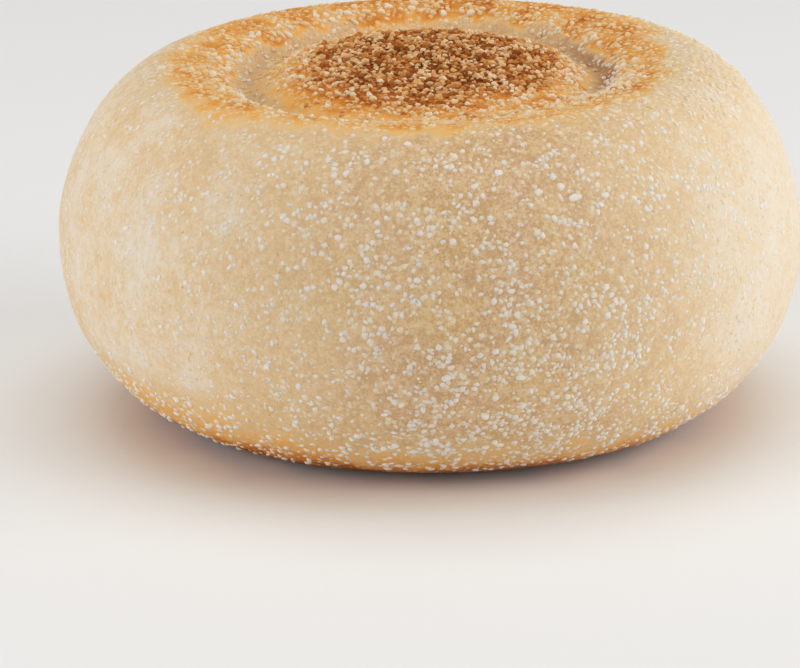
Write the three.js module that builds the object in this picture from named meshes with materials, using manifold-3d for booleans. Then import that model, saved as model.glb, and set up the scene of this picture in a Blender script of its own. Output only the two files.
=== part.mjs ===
// An English muffin: a thick round griddle bread, baked on both faces and dusted with coarse semolina.
// The side is a full, soft barrel. The top was pressed flat by the griddle: a browned rim runs round a sunken
// ring, and inside the ring the crumb has risen again into a low dome, the darkest part of the muffin.
// The loaf and the largest grits stuck to it are one closed solid.
//
// Millimetres, +Z up. The muffin stands on its flat foot at z = 0, and its box is centred on the origin.
// -Y is the side that faces the viewer.

import * as THREE from "three";
import { mergeVertices } from "three/addons/utils/BufferGeometryUtils.js";
import Module from "manifold-3d";

// Driving dimensions
const RADIUS = 45; // at the widest ring of the side
const HEIGHT = 43;
const WIDEST_AT = 21.8; // height of the widest ring
const FOOT_RADIUS = 25.7; // flat face that it stands on
const FLAT_RADIUS = 31.6; // outer edge of the pressed top face
const LOWER_FULLNESS = 2.02; // exponent of the side's curve, 2 is an ellipse
const UPPER_FULLNESS = 1.77;

// Top face
const DOME_RADIUS = 17.5;
const DOME_DROP = 0.9; // from the middle of the dome to its shoulder
const RING_RADIUS = 23.2; // middle of the sunken ring
const RING_SHIFT = 0.7; // how far the ring lies to the left of the axis
const RING_STRETCH = 1.8; // how much wider the ring runs from front to back than from side to side
const RING_BULGE = 2.4; // and how much further out it bends at the front left
const RING_BULGE_AT = THREE.MathUtils.degToRad(242);
const RING_BULGE_SPREAD = THREE.MathUtils.degToRad(26);
const RING_DEPTH = 2.4;
const RING_INNER_WIDTH = 3.3; // slope from the ring's floor up to the dome
const RING_OUTER_WIDTH = 2.1; // slope from the ring's floor up to the rim
const RING_CLOSED_AT = THREE.MathUtils.degToRad(285); // the front, where the ring all but closes
const RING_CLOSED_HALF = THREE.MathUtils.degToRad(18); // it is closed this far to either side
const RING_OPEN_FROM = THREE.MathUtils.degToRad(62); // and at its full depth beyond this
const RING_CLOSED_SHARE = 0.95;

// Unevenness of a hand-shaped loaf: [lobes round the muffin, size, turn in radians]
const PLAN_LOBES = [
  [2, 0.3, 0.7],
  [3, 0.22, 2.4],
  [5, 0.14, 4.1],
];
const TOP_LOBES = [
  [1, 0.18, 5.6],
  [3, 0.2, 1.1],
  [4, 0.16, 3.3],
];
const DENT_SIZE = 0.12; // broad hollows and swellings of the side
const DENT_LOBES = 7;
const DENT_WAVES = 2.2; // from foot to top

// Fineness of the loaf's facets
const TURN_STEPS = 64;
const FOOT_STEPS = 2;
const SIDE_STEPS = 10;
const TOP_STEPS = 16;

// The largest grits
const GRIT_LENGTH = 1.15;
const GRIT_WIDTH = 0.88;
const GRIT_THICKNESS = 0.56;
const GRIT_SIZE_SPREAD = 0.2;
const GRIT_CRAG = 0.22; // how far a grit's corners stray, as a share of its size
const GRIT_SUNK = 0.16; // how deep the middle of a grit lies, as a share of its thickness
const GRIT_GAP = 1.9; // least distance between the middles of two grits
const FRONT = THREE.MathUtils.degToRad(-82);
const GOLDEN_ANGLE = Math.PI * (3 - Math.sqrt(5));
const SEED = 20817;

// Where grits lie: from one share of a stretch of the outline to another, evenly over its area.
// focus draws them towards the front: 0 is all round, 1 is only there.
const GRIT_FIELDS = [
  { stretch: "top", from: 0.45, to: 1, count: 68, focus: 0 }, // dome
  { stretch: "top", from: 0.04, to: 0.27, count: 26, focus: 0 }, // rim
  { stretch: "upper side", from: 0.05, to: 0.85, count: 30, focus: 0.55 },
  { stretch: "lower side", from: 0.4, to: 0.98, count: 36, focus: 0.55 },
  { stretch: "lower side", from: 0.14, to: 0.38, count: 30, focus: 0.15 }, // browned edge of the foot
];

/** A seeded random number from 0 to 1 at each call. */
function seededRandom(seed) {
  let state = seed;
  return () => {
    state = (state + 0x6d2b79f5) | 0;
    let mixed = Math.imul(state ^ (state >>> 15), 1 | state);
    mixed = (mixed + Math.imul(mixed ^ (mixed >>> 7), 61 | mixed)) ^ mixed;
    return ((mixed ^ (mixed >>> 14)) >>> 0) / 2 ** 32;
  };
}

/** The four stretches of the outline, foot to top. Each gives radius and height at a share of its length. */
const OUTLINE = {
  foot: (share) => new THREE.Vector2(FOOT_RADIUS * share, 0),
  "lower side": (share) => {
    const turn = (Math.PI / 2) * (1 - share);
    const out = Math.cos(turn) ** (2 / LOWER_FULLNESS);
    const down = Math.sin(turn) ** (2 / LOWER_FULLNESS);
    return new THREE.Vector2(
      FOOT_RADIUS + (RADIUS - FOOT_RADIUS) * out,
      WIDEST_AT * (1 - down),
    );
  },
  "upper side": (share) => {
    const turn = (Math.PI / 2) * share;
    const out = Math.cos(turn) ** (2 / UPPER_FULLNESS);
    const rise = Math.sin(turn) ** (2 / UPPER_FULLNESS);
    return new THREE.Vector2(
      FLAT_RADIUS + (RADIUS - FLAT_RADIUS) * out,
      WIDEST_AT + (HEIGHT - WIDEST_AT) * rise,
    );
  },
  top: (share) => new THREE.Vector2(FLAT_RADIUS * (1 - share), HEIGHT),
};

/** The sum of some lobes at an angle round the muffin. */
function lobes(list, angle) {
  return list.reduce(
    (sum, [count, size, turn]) => sum + size * Math.cos(count * angle + turn),
    0,
  );
}

/** How far apart two angles are, the shorter way round. */
function angleBetween(angle, other) {
  return Math.abs(
    THREE.MathUtils.euclideanModulo(angle - other + Math.PI, 2 * Math.PI) -
      Math.PI,
  );
}

/** How near an angle is to another, 1 there and 0 well away from it. */
function nearness(angle, centre, spread) {
  return Math.exp(-((angleBetween(angle, centre) / spread) ** 2));
}

/** A radius on the top face as it would be if the ring were a true circle about the axis. */
function roundRingRadius(radius, angle) {
  const bulge = RING_BULGE * nearness(angle, RING_BULGE_AT, RING_BULGE_SPREAD);
  const further =
    bulge - RING_STRETCH * Math.cos(2 * angle) - RING_SHIFT * Math.cos(angle);
  const share = Math.min(1, radius / (2 * RING_RADIUS));
  return radius - further * Math.sin(Math.PI * share);
}

/** How far the top face lies under the rim at a radius and an angle. */
function topSink(trueRadius, angle) {
  const radius = roundRingRadius(trueRadius, angle);
  const width = radius < RING_RADIUS ? RING_INNER_WIDTH : RING_OUTER_WIDTH;
  const ring = Math.exp(-(((radius - RING_RADIUS) / width) ** 2));
  const open = THREE.MathUtils.smoothstep(
    angleBetween(angle, RING_CLOSED_AT),
    RING_CLOSED_HALF,
    RING_OPEN_FROM,
  );
  const depth = RING_DEPTH * (1 - RING_CLOSED_SHARE * (1 - open));
  const dome = DOME_DROP * Math.min(1, radius / DOME_RADIUS) ** 2.4;
  const underRim = 1 - THREE.MathUtils.smoothstep(trueRadius, RING_RADIUS, FLAT_RADIUS);
  return depth * ring + dome * underRim;
}

/** Moves a point of the plain turned loaf to where it lies on the uneven one. */
function relief(point) {
  const radius = Math.hypot(point.x, point.y);
  const angle = Math.atan2(point.y, point.x);
  const rise = point.z / HEIGHT;
  const onTop = THREE.MathUtils.smoothstep(rise, 0.93, 1);
  const onSide = Math.sin(Math.PI * THREE.MathUtils.clamp(rise, 0, 1));
  const dent =
    DENT_SIZE *
    onSide *
    Math.sin(DENT_LOBES * angle + 1.3) *
    Math.cos(2 * Math.PI * DENT_WAVES * rise + 2 * Math.sin(2 * angle));
  const grown = 1 + lobes(PLAN_LOBES, angle) / RADIUS + dent / RADIUS;
  const lift =
    rise * lobes(TOP_LOBES, angle) * (radius / RADIUS) -
    onTop * topSink(radius, angle);
  return new THREE.Vector3(point.x * grown, point.y * grown, point.z + lift);
}

/** A geometry's shared vertices merged, with position alone kept. */
function merged(geometry) {
  geometry.deleteAttribute("normal");
  geometry.deleteAttribute("uv");
  return mergeVertices(geometry, 1e-5);
}

/** A closed geometry as a solid that can be joined. */
function solidOf(wasm, geometry) {
  const corners = geometry.index.array;
  const kept = [];
  for (let i = 0; i < corners.length; i += 3) {
    const [a, b, c] = corners.slice(i, i + 3);
    if (a !== b && b !== c && c !== a) kept.push(a, b, c);
  }
  return new wasm.Manifold(
    new wasm.Mesh({
      numProp: 3,
      vertProperties: new Float32Array(geometry.attributes.position.array),
      triVerts: new Uint32Array(kept),
    }),
  );
}

/** The bare loaf: its outline turned about the axis, then made uneven. */
function loafGeometry() {
  const steps = {
    foot: FOOT_STEPS,
    "lower side": SIDE_STEPS,
    "upper side": SIDE_STEPS,
    top: TOP_STEPS,
  };
  const profile = [new THREE.Vector2(0, 0)];
  for (const [stretch, count] of Object.entries(steps)) {
    for (let i = 1; i <= count; i++) profile.push(OUTLINE[stretch](i / count));
  }
  profile.at(-1).x = 0;
  const turned = merged(new THREE.LatheGeometry(profile, TURN_STEPS));
  turned.rotateX(Math.PI / 2);
  const place = turned.attributes.position;
  const point = new THREE.Vector3();
  for (let i = 0; i < place.count; i++) {
    place.setXYZ(i, ...relief(point.fromBufferAttribute(place, i)).toArray());
  }
  return turned;
}

/** The point of the skin at a share of a stretch and an angle, with the normal there. */
function skinAt(stretch, share, angle) {
  const at = (s, a) => {
    const spot = OUTLINE[stretch](THREE.MathUtils.clamp(s, 0, 1));
    return relief(
      new THREE.Vector3(spot.x * Math.cos(a), spot.x * Math.sin(a), spot.y),
    );
  };
  const step = 0.01;
  const inside = Math.min(share, 1 - step);
  const along = at(inside + step, angle).sub(at(inside, angle));
  const round = at(inside, angle + step).sub(at(inside, angle));
  return { point: at(share, angle), normal: round.cross(along).normalize() };
}

/** One craggy grit, lying flat on the skin and turned about its normal. */
function gritGeometry({ point, normal }, random) {
  const size = 1 + GRIT_SIZE_SPREAD * (2 * random() - 1);
  const grit = merged(new THREE.IcosahedronGeometry(0.5, 0));
  const corners = grit.attributes.position;
  for (let i = 0; i < corners.count; i++) {
    const stray = 1 + GRIT_CRAG * (2 * random() - 1);
    corners.setXYZ(
      i,
      corners.getX(i) * stray * size * GRIT_LENGTH,
      corners.getY(i) * stray * size * GRIT_WIDTH,
      corners.getZ(i) * stray * size * GRIT_THICKNESS,
    );
  }
  const lie = new THREE.Quaternion().setFromUnitVectors(
    new THREE.Vector3(0, 0, 1),
    normal,
  );
  const turn = new THREE.Quaternion().setFromAxisAngle(
    new THREE.Vector3(0, 0, 1),
    random() * 2 * Math.PI,
  );
  const middle = point
    .clone()
    .addScaledVector(normal, -GRIT_SUNK * GRIT_THICKNESS * size);
  grit.applyQuaternion(lie.multiply(turn));
  return grit.translate(middle.x, middle.y, middle.z);
}

/** Draws an angle towards the front by a share, from 0, none, to 1, all the way. */
function drawnToFront(angle, focus) {
  const apart = THREE.MathUtils.euclideanModulo(angle - FRONT, 2 * Math.PI);
  const signed = apart > Math.PI ? apart - 2 * Math.PI : apart;
  return FRONT + signed * (1 - focus * Math.cos(signed / 2) ** 2);
}

/** The grits of every field, each clear of the others. */
function gritGeometries(random) {
  const grits = [];
  const middles = [];
  for (const { stretch, from, to, count, focus } of GRIT_FIELDS) {
    for (let i = 0; i < count; i++) {
      const even = (i + 0.5) / count;
      const share =
        stretch === "top"
          ? 1 - Math.sqrt((1 - to) ** 2 + even * ((1 - from) ** 2 - (1 - to) ** 2))
          : from + (to - from) * ((even * 7.31) % 1);
      const angle = drawnToFront(i * GOLDEN_ANGLE + 0.3 * random(), focus);
      const spot = skinAt(stretch, share, angle);
      if (middles.some((other) => other.distanceTo(spot.point) < GRIT_GAP))
        continue;
      middles.push(spot.point);
      grits.push(gritGeometry(spot, random));
    }
  }
  return grits;
}

/** The solid's vertices and triangles as a geometry, its box centred on the axis. */
function geometryOf(solid) {
  const mesh = solid.getMesh();
  const geometry = new THREE.BufferGeometry();
  geometry.setAttribute(
    "position",
    new THREE.BufferAttribute(new Float32Array(mesh.vertProperties), 3),
  );
  geometry.setIndex(new THREE.BufferAttribute(new Uint32Array(mesh.triVerts), 1));
  geometry.computeBoundingBox();
  const centre = geometry.boundingBox.getCenter(new THREE.Vector3());
  geometry.translate(-centre.x, -centre.y, 0);
  geometry.computeVertexNormals();
  return geometry;
}

const wasm = await Module();
wasm.setup();

const random = seededRandom(SEED);
const dusted = gritGeometries(random).reduce(
  (whole, grit) => whole.add(solidOf(wasm, grit)),
  solidOf(wasm, loafGeometry()),
);

const crust = new THREE.MeshStandardMaterial({
  color: 0xd9b98a, // pale baked dough under a bloom of flour
  roughness: 0.85,
  metalness: 0,
});

const muffin = new THREE.Mesh(geometryOf(dusted), crust);
muffin.name = "english_muffin";

const part = new THREE.Group();
part.add(muffin);

export default part;
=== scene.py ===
"""An English muffin: a thick griddle bread, browned on both flat faces and dusted with coarse semolina.

The crust is one fine mesh with the form of the solid that it stands for. The semolina is made grit by grit,
joined into one mesh for each place it lies in. Lengths are millimetres until a mesh is written, and metres
from there on.
"""

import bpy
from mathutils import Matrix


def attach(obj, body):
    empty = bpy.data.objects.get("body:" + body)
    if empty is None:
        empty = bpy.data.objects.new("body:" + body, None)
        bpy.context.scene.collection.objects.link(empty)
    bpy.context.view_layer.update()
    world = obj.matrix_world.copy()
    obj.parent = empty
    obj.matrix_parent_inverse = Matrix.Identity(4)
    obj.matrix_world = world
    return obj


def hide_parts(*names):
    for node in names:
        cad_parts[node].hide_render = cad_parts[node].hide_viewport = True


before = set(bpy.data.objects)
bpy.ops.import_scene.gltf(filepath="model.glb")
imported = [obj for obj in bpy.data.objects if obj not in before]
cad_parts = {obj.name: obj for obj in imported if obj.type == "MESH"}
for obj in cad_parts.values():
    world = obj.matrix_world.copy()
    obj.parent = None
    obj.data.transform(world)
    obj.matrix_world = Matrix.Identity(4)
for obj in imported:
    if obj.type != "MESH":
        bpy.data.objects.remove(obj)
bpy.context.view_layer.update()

import itertools
import logging
import math
from collections.abc import Iterator
from dataclasses import dataclass, field
from enum import Enum
from functools import partial

import bpy
import numpy as np
from mathutils import Matrix, Vector

Array = np.ndarray

NODE = "english_muffin"
BODY = "root"
METRES = 0.001  # one millimetre
FULL_TURN = 2 * math.pi
ASKEW = np.array([0.41, -0.33, 0.85])  # crossed with a normal, it gives a way along the surface
CORNERS = 12  # of a nugget, and so the number of chances that each grain takes for its shape
SPAN = ("From Min", "From Max", "To Min", "To Max")  # a range, and what it is carried to, or else 0 to 1

log = logging.getLogger("muffin")


def linear(colour: str) -> tuple[float, float, float, float]:
    """Turns an sRGB hex colour into linear light.

    Args:
        colour: Six hex digits with a leading hash.

    Returns:
        Red, green, blue and alpha.
    """
    parts = [int(colour[i : i + 2], 16) / 255 for i in (1, 3, 5)]
    return (*(c / 12.92 if c <= 0.04045 else ((c + 0.055) / 1.055) ** 2.4 for c in parts), 1.0)


def smooth_step(value: Array, low: float, high: float) -> Array:
    """0 below low, 1 above high, and a smooth rise between them."""
    share = np.clip((value - low) / (high - low), 0, 1)
    return share * share * (3 - 2 * share)


def band(value: Array, starts: tuple[float, float], ends: tuple[float, float]) -> Array:
    """1 between two edges and 0 beyond them, each edge a smooth slope."""
    return smooth_step(value, *starts) * (1 - smooth_step(value, *ends))


def degrees_between(angle: Array, other: float) -> Array:
    """How many degrees lie between angles in radians and another in degrees, the shorter way round."""
    return np.abs((np.degrees(angle) - other + 180) % 360 - 180)


def bell(value: Array, centre: float, width: float | Array) -> Array:
    """1 at a centre and 0 well away from it."""
    return np.exp(-(((value - centre) / width) ** 2))


def per_metre(size: float) -> float:
    """The scale of a pattern whose features are that many millimetres apart."""
    return 1 / (size * METRES)


@dataclass(frozen=True)
class Sector:
    """An effect that is strongest at one side of the loaf and fades round it. Degrees from +X."""

    centre: float
    spread: float | Array
    strength: float = 1.0

    def at(self, angle: Array) -> Array:
        """How strong it is at angles in radians."""
        return self.strength * bell(degrees_between(angle, self.centre), 0, self.spread)


@dataclass(frozen=True)
class SpaceNoise:
    """Smooth noise in space, from about -1 to 1, the same at every run for one seed."""

    seed: int
    slopes: int = 4096
    gain: float = 1.7
    primes: tuple = (73856093, 19349663, 83492791)
    stirring: int = 1274126177

    def at(self, points: Array, size: float) -> Array:
        """Samples the noise.

        Args:
            points: One point a row.
            size: Width of its bumps, in the points' unit.

        Returns:
            One value a point.
        """
        slopes = np.random.default_rng(self.seed).normal(size=(self.slopes, 3))
        slopes /= np.linalg.norm(slopes, axis=1, keepdims=True)
        spots = points / size
        cell = np.floor(spots).astype(np.int64)
        inside = spots - cell
        fade = inside**3 * (inside * (inside * 6 - 15) + 10)
        total = np.zeros(len(points))
        for corner in itertools.product((0, 1), repeat=3):
            x, y, z = ((cell + corner) * self.primes).T
            mixed = x ^ y ^ z
            mixed = (mixed ^ (mixed >> 13)) * self.stirring
            pick = (mixed ^ (mixed >> 16)) % self.slopes
            reach = ((inside - corner) * slopes[pick]).sum(axis=1)
            total += reach * np.prod(np.where(corner, fade, 1 - fade), axis=1)
        return total * self.gain

    def layers(self, points: Array, layers: tuple, start: float = 0) -> Array:
        """The sum of some layers of it, each with its strength, its shift and the size of its bumps."""
        return sum((strength * self.at(points + shift, size) for strength, shift, size in layers), start)


class Zone(Enum):
    """The four stretches of the outline, from the middle of the foot to the middle of the top."""

    FOOT = "foot"
    LOWER_SIDE = "lower side"
    UPPER_SIDE = "upper side"
    TOP = "top"


@dataclass(frozen=True)
class LoafForm:
    """The form of the loaf, the same as the solid's."""

    radius: float = 45.0
    height: float = 43.0
    widest_at: float = 21.8
    foot_radius: float = 25.7
    flat_radius: float = 31.6
    lower_fullness: float = 2.02
    upper_fullness: float = 1.77
    dome_radius: float = 17.5
    dome_drop: float = 0.9
    dome_flatness: float = 2.4
    ring_radius: float = 23.2
    ring_shift: float = 0.7
    ring_stretch: float = 1.8
    ring_bulge: Sector = Sector(242.0, 26.0, 2.4)
    ring_depth: float = 2.4
    ring_inner_width: float = 3.3
    ring_outer_width: float = 2.1
    closed_at: float = 285.0
    closed_half: float = 18.0
    open_from: float = 62.0
    closed_share: float = 0.95
    plan_lobes: tuple = ((2, 0.3, 0.7), (3, 0.22, 2.4), (5, 0.14, 4.1))
    top_lobes: tuple = ((1, 0.18, 5.6), (3, 0.2, 1.1), (4, 0.16, 3.3))
    dent_size: float = 0.12
    dent_lobes: int = 7
    dent_waves: float = 2.2
    dent_turn: float = 1.3
    dent_weave: float = 2.0
    top_from: float = 0.93  # share of the height where the top's own form sets in
    axis_at: tuple = (0.156, -0.293)  # the turning axis in the part's frame, whose origin is its box's middle

    def outline(self, zone: Zone, share: Array) -> tuple[Array, Array]:
        """The outline of the plain turned loaf.

        Args:
            zone: One of its stretches.
            share: How far along that stretch.

        Returns:
            Radius and height.
        """
        if zone is Zone.FOOT:
            return self.foot_radius * share, 0 * share
        if zone is Zone.TOP:
            return self.flat_radius * (1 - share), self.height + 0 * share
        lower = zone is Zone.LOWER_SIDE
        turn = math.pi / 2 * (1 - share if lower else share)
        fullness = self.lower_fullness if lower else self.upper_fullness
        start = self.foot_radius if lower else self.flat_radius
        rise = -self.widest_at if lower else self.height - self.widest_at
        out = np.clip(np.cos(turn), 0, 1) ** (2 / fullness)
        up = np.clip(np.sin(turn), 0, 1) ** (2 / fullness)
        return start + (self.radius - start) * out, self.widest_at + rise * up

    def lobes(self, lobes: tuple, angle: Array) -> Array:
        """The sum of some lobes at angles round the muffin."""
        return sum(size * np.cos(count * angle + turn) for count, size, turn in lobes)

    def round_ring_radius(self, radius: Array, angle: Array) -> Array:
        """Works out radii on the top face as they would be if the sunken ring were a true circle.

        Args:
            radius: Radius on the top face.
            angle: Angle round the axis.

        Returns:
            One radius a point.
        """
        stretch, shift = self.ring_stretch * np.cos(2 * angle), self.ring_shift * np.cos(angle)
        further = self.ring_bulge.at(angle) - stretch - shift
        return radius - further * np.sin(math.pi * np.minimum(1, radius / (2 * self.ring_radius)))

    def openness(self, angle: Array) -> Array:
        """How open the sunken ring is at angles, from 0 at the front, where it closes, to 1."""
        return smooth_step(degrees_between(angle, self.closed_at), self.closed_half, self.open_from)

    def top_sink(self, true_radius: Array, angle: Array) -> Array:
        """How far the top face lies under the rim.

        Args:
            true_radius: Radius on the top face.
            angle: Angle round the axis.

        Returns:
            One depth a point.
        """
        radius = self.round_ring_radius(true_radius, angle)
        width = np.where(radius < self.ring_radius, self.ring_inner_width, self.ring_outer_width)
        depth = self.ring_depth * (1 - self.closed_share * (1 - self.openness(angle)))
        dome = self.dome_drop * np.minimum(1, radius / self.dome_radius) ** self.dome_flatness
        under_rim = 1 - smooth_step(true_radius, self.ring_radius, self.flat_radius)
        return depth * bell(radius, self.ring_radius, width) + dome * under_rim

    def skin(self, radius: Array, height: Array, angle: Array) -> Array:
        """Points of the uneven loaf, in the part's frame.

        Args:
            radius: Radius on the plain turned loaf.
            height: Height on it.
            angle: Angle round the axis.

        Returns:
            One point a row.
        """
        rise = height / self.height
        on_top = smooth_step(rise, self.top_from, 1)
        on_side = np.sin(math.pi * np.clip(rise, 0, 1))
        waves = np.cos(FULL_TURN * self.dent_waves * rise + self.dent_weave * np.sin(2 * angle))
        dent = self.dent_size * on_side * np.sin(self.dent_lobes * angle + self.dent_turn) * waves
        grown = 1 + (self.lobes(self.plan_lobes, angle) + dent) / self.radius
        lift = rise * self.lobes(self.top_lobes, angle) * radius / self.radius
        lift = lift - on_top * self.top_sink(radius, angle)
        x = radius * np.cos(angle) * grown + self.axis_at[0]
        y = radius * np.sin(angle) * grown + self.axis_at[1]
        return np.stack([x, y, height + lift], axis=-1)

    def turned(self, mesh_shares: dict[Zone, float], steps: int = 1500) -> tuple[Array, Array, Array]:
        """The whole outline as a table.

        Args:
            mesh_shares: How finely each zone is meshed against the others.
            steps: Samples a zone.

        Returns:
            Radius, height, and the share of the weighted area that lies below each sample.
        """
        share = np.linspace(0, 1, steps)
        radius, height = np.concatenate([self.outline(zone, share) for zone in Zone], axis=1)
        weight = np.repeat([mesh_shares[zone] for zone in Zone], steps)
        run = np.hypot(np.diff(radius), np.diff(height))
        area = run * (radius[1:] + radius[:-1]) / 2 * weight[1:]
        below = np.concatenate([[0], np.cumsum(area)])
        return radius, height, below / below[-1]


@dataclass(frozen=True)
class Browning:
    """Where the griddle toasted the loaf, from 0, pale dough, to 1, dark brown."""

    noise: SpaceNoise = SpaceNoise(11)
    wandering: tuple = ((1.2, 0, 5.5), (0.8, 40, 2.0))  # how far every edge strays
    patches: tuple = ((0.42, 90, 4.2), (0.24, 130, 1.8))
    dome_patches: tuple = ((0.16, 170, 3.2),)
    upper: tuple = (0.6, 0.9)  # shares of the height between which the top's browning sets in
    dome: tuple = ((0, 0.92), (9, 0.89), (13, 0.81), (16, 0.67), (18.5, 0.49), (21, 0.3), (24, 0.1), (26, 0))
    dome_at: tuple = (1.5, 1.0)  # the griddle's hottest spot lay a little off the middle
    dome_at_fades: tuple = (14, 22)
    dome_edge: tuple = (15.5, 18.5)  # where the toasting falls off faster, but not at the front
    dome_edge_shift: float = 0.9
    rim: float = 0.39
    rim_starts: tuple = (24.4, 26.4)
    rim_ends: tuple = (29.8, 35.2)
    hotter: tuple = (Sector(10, 50, 0.1), Sector(90, 50, 0.2))
    wider: tuple = (
        Sector(92, 55, 2.5),
        Sector(225, 38, 1.6),
        Sector(175, 28, -1.8),
        Sector(335, 30, -1.6),
        Sector(5, 28, -3.4),
    )
    closed_ring: float = 0.36  # where the sunken ring closes, at the front
    open_ring: float = 0.11  # the floor of the ring where it is open, a golden toasting that is partly painted light, lightening the floor against the ring's shade
    pit_shade: Sector = Sector(4, 38)  # but for its narrow right end, a pit, which takes painted shade instead of toasting
    # partly painted shade: a little browning on the floor of the pit at the ring's narrow right end
    right: Sector = Sector(-25, 22, 0.08)
    ring_starts: tuple = (17, 21)
    ring_ends: tuple = (27, 31)
    shoulder: Sector = Sector(-15, 45, 0.08)  # the crust's right shoulder, outside the rim
    shoulder_starts: tuple = (27, 30)
    shoulder_ends: tuple = (33, 42)
    foot: tuple = ((0, 0.98), (0.9, 0.88), (2.2, 0.62), (4.0, 0.3), (7.0, 0.1), (10.0, 0.0))
    foot_higher: Sector = Sector(215, 38, 0.32)
    foot_wanders: float = 0.8  # as a share of how far the other edges do
    foot_patchy: float = 0.3
    blush: Sector = Sector(215, 40, 0.27)  # a weak toasting further up the side, above the foot's left
    blush_ends: tuple = (6, 14)

    def level(self, form: LoafForm, points: Array, radius: Array, height: Array, angle: Array) -> Array:
        """How toasted each point is.

        Args:
            form: The loaf.
            points: One point a row.
            radius: Radius of each on the plain turned loaf.
            height: Height of each on it.
            angle: Angle of each round the axis.

        Returns:
            One value a point, from 0 to 1.
        """
        warp = self.noise.layers(points, self.wandering)
        patchy = self.noise.layers(points, self.patches, 1)
        ring = form.round_ring_radius(radius, angle) + warp
        outer = radius + warp - sum(sector.at(angle) for sector in self.wider)
        openness = form.openness(angle)
        x, y = points[:, :2].T
        off = np.hypot(x - self.dome_at[0], y - self.dome_at[1]) - np.hypot(x, y)
        from_hot = ring + off * (1 - smooth_step(radius, *self.dome_at_fades))
        from_hot = from_hot + self.dome_edge_shift * openness * smooth_step(from_hot, *self.dome_edge)
        dome = np.interp(from_hot, *zip(*self.dome)) * self.noise.layers(points, self.dome_patches, 1)
        rim = self.rim * sum((sector.at(angle) for sector in self.hotter), 1) * patchy
        rim = rim * smooth_step(ring, *self.rim_starts) * (1 - smooth_step(outer, *self.rim_ends))
        opened = openness * (1 - self.pit_shade.at(angle))
        floor = self.closed_ring * (1 - openness) + self.open_ring * opened + self.right.at(angle)
        floor = floor * patchy * band(ring, self.ring_starts, self.ring_ends)
        shoulder = self.shoulder.at(angle) * band(outer, self.shoulder_starts, self.shoulder_ends)
        upper = smooth_step(height, *(share * form.height for share in self.upper))
        above = height + self.foot_wanders * warp
        foot = np.interp(above / (1 + self.foot_higher.at(angle)), *zip(*self.foot))
        foot = np.maximum(foot, self.blush.at(angle) * (1 - smooth_step(above, *self.blush_ends)))
        foot = foot * (1 - upper) * (1 - self.foot_patchy + self.foot_patchy * patchy)
        return np.clip(upper * np.max([dome, rim, floor, shoulder], axis=0) + foot, 0, 1)


@dataclass(frozen=True)
class CrustGrain:
    """Fine relief of the baked surface, as layers of noise: swells, puckers and grain."""

    noise: SpaceNoise = SpaceNoise(23)
    layers: tuple = ((0.08, 0, 6.5), (0.018, 20, 2.1), (0.007, 50, 1.0))
    toasted: tuple = ((0.07, 70, 1.2),)  # extra roughness where the crust is browned
    toasted_from: tuple = (0.08, 0.5)

    def height(self, points: Array, browning: Array) -> Array:
        """How far the surface stands out from the form at each point."""
        toasted = self.noise.layers(points, self.toasted) * smooth_step(browning, *self.toasted_from)
        return self.noise.layers(points, self.layers) + toasted


@dataclass(frozen=True)
class Flouring:
    """Where loose flour and fine meal lie on the crust, with painted light and shade mixed in. Radii and
    heights in millimetres.
    """

    noise: SpaceNoise = SpaceNoise(37)
    clouds: tuple = ((1, 0, 8.0), (0.4, 60, 2.6))
    cloudiness: float = 0.12
    level: float = 0.89
    most: float = 0.97
    # Partly painted light: the flour lies thicker on the right and far thinner at the front, so the sides are
    # lighter and the front darker, as under the side lights.
    right_more_flour_and_light: Sector = Sector(-5, 50, 0.25)
    front_less_flour_and_shade: Sector = Sector(-81, 31, 0.9)
    shoulder: tuple = (Sector(-145, 45, 0.1), Sector(-5, 50, 0.3))  # less again, high on the side
    shoulder_starts: tuple = (28, 40)
    foot: Sector = Sector(215, 45, 0.5)  # burnt off, over the blush
    foot_ends: tuple = (4, 13)
    side_ends: tuple = (25.0, 30.5)
    pit_shade: Sector = Sector(4, 38)  # the ring's narrow end, a pit, where shade is painted on the floor
    pit_shade_width: float = 3.2
    meal: float = 0.15  # round the foot, but for its left; partly painted light, a paler, greyer foot standing in for the floor's bounce light
    meal_ends: tuple = (1.0, 9.0)
    no_meal: Sector = Sector(215, 45)
    meal_right: Sector = Sector(-5, 50, 0.34)
    right_starts: tuple = (6, 14)
    right_ends: tuple = (38, 43)

    def bloom(self, crust: "Crust") -> Array:
        """How much loose flour lies on the skin, partly painted light: thinner at the front as painted shade,
        and below 0 as painted shade in the ring's pit.

        Args:
            crust: The shaped crust.

        Returns:
            One value a point.
        """
        radius, height, angle = (crust.plain[name] for name in ("radius", "height", "angle"))
        shoulder = sum(part.at(angle) for part in self.shoulder) * smooth_step(height, *self.shoulder_starts)
        foot = self.foot.at(angle) * (1 - smooth_step(height, *self.foot_ends))
        level = self.level + self.right_more_flour_and_light.at(angle) - self.front_less_flour_and_shade.at(angle) - shoulder - foot
        level = level + self.cloudiness * self.noise.layers(crust.points, self.clouds)
        dusted = np.clip(level, 0, self.most) * (1 - crust.plain["browning"])
        on_top = (1 - smooth_step(radius, *self.side_ends)) * (height > crust.form.widest_at)
        ring = crust.form.round_ring_radius(radius, angle)
        # Painted shade: the floor of the ring's pit gets a value below 0, which the material turns into a
        # darker brown.
        floor = bell(ring, crust.form.ring_radius, self.pit_shade_width) * on_top
        return dusted * (1 - on_top) - floor * self.pit_shade.at(angle)

    def veil(self, crust: "Crust") -> Array:
        """How much fine meal covers the skin; round the foot it is partly painted light, paling the foot as
        bounce light from the floor would.

        Args:
            crust: The shaped crust.

        Returns:
            One value a point.
        """
        height, angle = crust.plain["height"], crust.plain["angle"]
        foot = self.meal * (1 - smooth_step(height, *self.meal_ends)) * (1 - self.no_meal.at(angle))
        right = self.meal_right.at(angle) * band(height, self.right_starts, self.right_ends)
        return foot + right * (1 - crust.plain["browning"]) ** 3


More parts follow.
